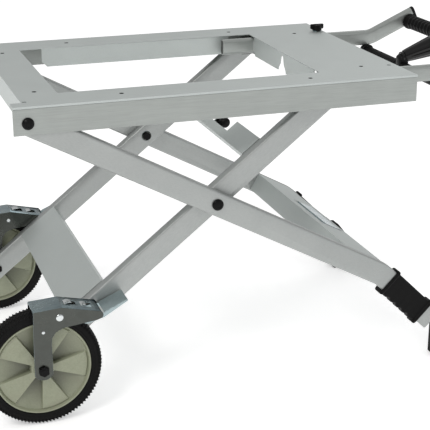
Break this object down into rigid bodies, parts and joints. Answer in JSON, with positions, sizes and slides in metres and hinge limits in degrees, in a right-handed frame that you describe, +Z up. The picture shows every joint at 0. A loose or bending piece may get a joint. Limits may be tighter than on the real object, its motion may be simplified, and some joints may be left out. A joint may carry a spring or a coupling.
{
  "type": "folding wheeled tool stand",
  "caption": "Folding scissor-leg stand for a mitre saw, with an open sheet-metal top frame, braked wheels, feet, a sliding tubular handle and a release lever.",
  "frame": {"origin": "floor level under the centre of the stand's own box, legs up", "axes": "+X towards the handle end, +Y towards the rear rail, +Z up"},
  "size_m": [1.2098, 0.68, 0.7175],
  "materials": {
    "silver_paint": "satin silver-grey powder coat on folded sheet and tube",
    "anodised_aluminium": "satin anodised, fine lengthwise grain",
    "zinc_steel": "bright zinc plate, slightly blue",
    "black_steel": "black oxide or black enamel, satin",
    "black_plastic": "moulded black plastic",
    "black_rubber": "moulded rubber, matt",
    "tyre_rubber": "tyre rubber with fine tread",
    "rim_plastic": "moulded cream-grey plastic"
  },
  "bodies": {
    "top_frame": {"top_plate": "silver_paint", "front_rail": "anodised_aluminium", "front_slide_track": "zinc_steel", "front_handle_guide": "zinc_steel", "front_hinge_bolt": "black_steel", "rear_rail": "anodised_aluminium", "rear_slide_track": "zinc_steel", "rear_handle_guide": "zinc_steel", "rear_hinge_bolt": "black_steel"},
    "handle": {"handle_crossbar": "anodised_aluminium", "handle_grip": "black_rubber", "front_handle_tube": "anodised_aluminium", "front_handle_cap": "black_plastic", "rear_handle_tube": "anodised_aluminium", "rear_handle_cap": "black_plastic"},
    "release_lever": {"release_lever_shaft": "black_steel", "release_lever_grip": "black_plastic"},
    "clamp_knob": {"clamp_knob": "black_plastic", "clamp_stud": "zinc_steel", "clamp_washer": "zinc_steel"},
    "outer_legs": {"outer_lower_plate": "silver_paint", "outer_upper_plate": "silver_paint", "release_pin": "zinc_steel", "outer_leg_front": "silver_paint", "leg_grip_front": "black_rubber", "foot_front": "black_rubber", "outer_leg_rear": "silver_paint", "leg_grip_rear": "black_rubber", "foot_rear": "black_rubber", "front_pivot_bolt": "black_steel", "rear_pivot_bolt": "black_steel"},
    "release_pedal": {"release_pedal": "zinc_steel"},
    "inner_legs": {"inner_lower_plate": "silver_paint", "inner_upper_plate": "silver_paint", "latch_bracket": "zinc_steel", "inner_leg_front": "silver_paint", "slider_pin_front": "zinc_steel", "fork_front": "zinc_steel", "wheel_axle_front": "black_steel", "inner_leg_rear": "silver_paint", "slider_pin_rear": "zinc_steel", "fork_rear": "zinc_steel", "wheel_axle_rear": "black_steel", "brake_rivet_front_outer": "zinc_steel", "brake_rivet_front_inner": "zinc_steel", "brake_rivet_rear_outer": "zinc_steel", "brake_rivet_rear_inner": "zinc_steel"},
    "latch": {"latch_hook": "zinc_steel", "latch_knob": "black_plastic", "latch_spring": "zinc_steel"},
    "wheel_front": {"tyre_front": "tyre_rubber", "rim_front": "rim_plastic"},
    "brake_front": {"brake_pedal_front": "zinc_steel", "brake_shoe_front": "black_rubber"},
    "roller_front": {"slider_roller_front": "black_plastic"},
    "wheel_rear": {"tyre_rear": "tyre_rubber", "rim_rear": "rim_plastic"},
    "brake_rear": {"brake_pedal_rear": "zinc_steel", "brake_shoe_rear": "black_rubber"},
    "roller_rear": {"slider_roller_rear": "black_plastic"}
  },
  "joints": [
    {"name": "fold", "type": "hinge", "parent": "top_frame", "child": "outer_legs", "pos_m": [-0.48077, 0, 0.6363], "axis": [0, -1, 0], "range_deg": [0, 18.5]},
    {"name": "scissor", "type": "hinge", "parent": "outer_legs", "child": "inner_legs", "pos_m": [-0.0964, 0, 0.42839], "axis": [0, 1, 0], "range_deg": [0, 44.1]},
    {"name": "handle_slide", "type": "slide", "parent": "top_frame", "child": "handle", "axis": [1, 0, 0], "range_m": [-0.1, 0.06]},
    {"name": "release_lever_press", "type": "hinge", "parent": "handle", "child": "release_lever", "pos_m": [0.46563, 0, 0.6145], "axis": [0, 1, 0], "range_deg": [0, 25], "stiffness_Nm_per_rad": 2, "springref_deg": -28.65},
    {"name": "clamp_turn", "type": "hinge", "parent": "top_frame", "child": "clamp_knob", "pos_m": [0.33063, 0.199, 0.67], "axis": [0, 0, 1], "range_deg": [0, 360]},
    {"name": "release_pedal_press", "type": "hinge", "parent": "outer_legs", "child": "release_pedal", "pos_m": [0.24707, 0, 0.25624], "axis": [0, 1, 0], "range_deg": [0, 12], "stiffness_Nm_per_rad": 0.5, "springref_deg": -28.65},
    {"name": "latch_release", "type": "hinge", "parent": "inner_legs", "child": "latch", "pos_m": [-0.00222, 0, 0.51565], "axis": [0, 1, 0], "range_deg": [0, 25], "stiffness_Nm_per_rad": 0.3, "springref_deg": -45.84},
    {"name": "wheel_front_spin", "type": "hinge", "parent": "inner_legs", "child": "wheel_front", "pos_m": [-0.47986, -0.302, 0.125], "axis": [0, 1, 0], "continuous": true},
    {"name": "brake_front_press", "type": "hinge", "parent": "inner_legs", "child": "brake_front", "pos_m": [-0.44286, -0.302, 0.238], "axis": [0, 1, 0], "range_deg": [0, 6]},
    {"name": "roller_front_spin", "type": "hinge", "parent": "inner_legs", "child": "roller_front", "pos_m": [0.1664, -0.2465, 0.6363], "axis": [0, 1, 0], "continuous": true},
    {"name": "wheel_rear_spin", "type": "hinge", "parent": "inner_legs", "child": "wheel_rear", "pos_m": [-0.47986, 0.302, 0.125], "axis": [0, 1, 0], "continuous": true},
    {"name": "brake_rear_press", "type": "hinge", "parent": "inner_legs", "child": "brake_rear", "pos_m": [-0.44286, 0.302, 0.238], "axis": [0, 1, 0], "range_deg": [0, 6]},
    {"name": "roller_rear_spin", "type": "hinge", "parent": "inner_legs", "child": "roller_rear", "pos_m": [0.1664, 0.2465, 0.6363], "axis": [0, 1, 0], "continuous": true}
  ],
  "couplings": [
    {"joint": "scissor", "follows": "fold", "ratio": 2.38}
  ]
}
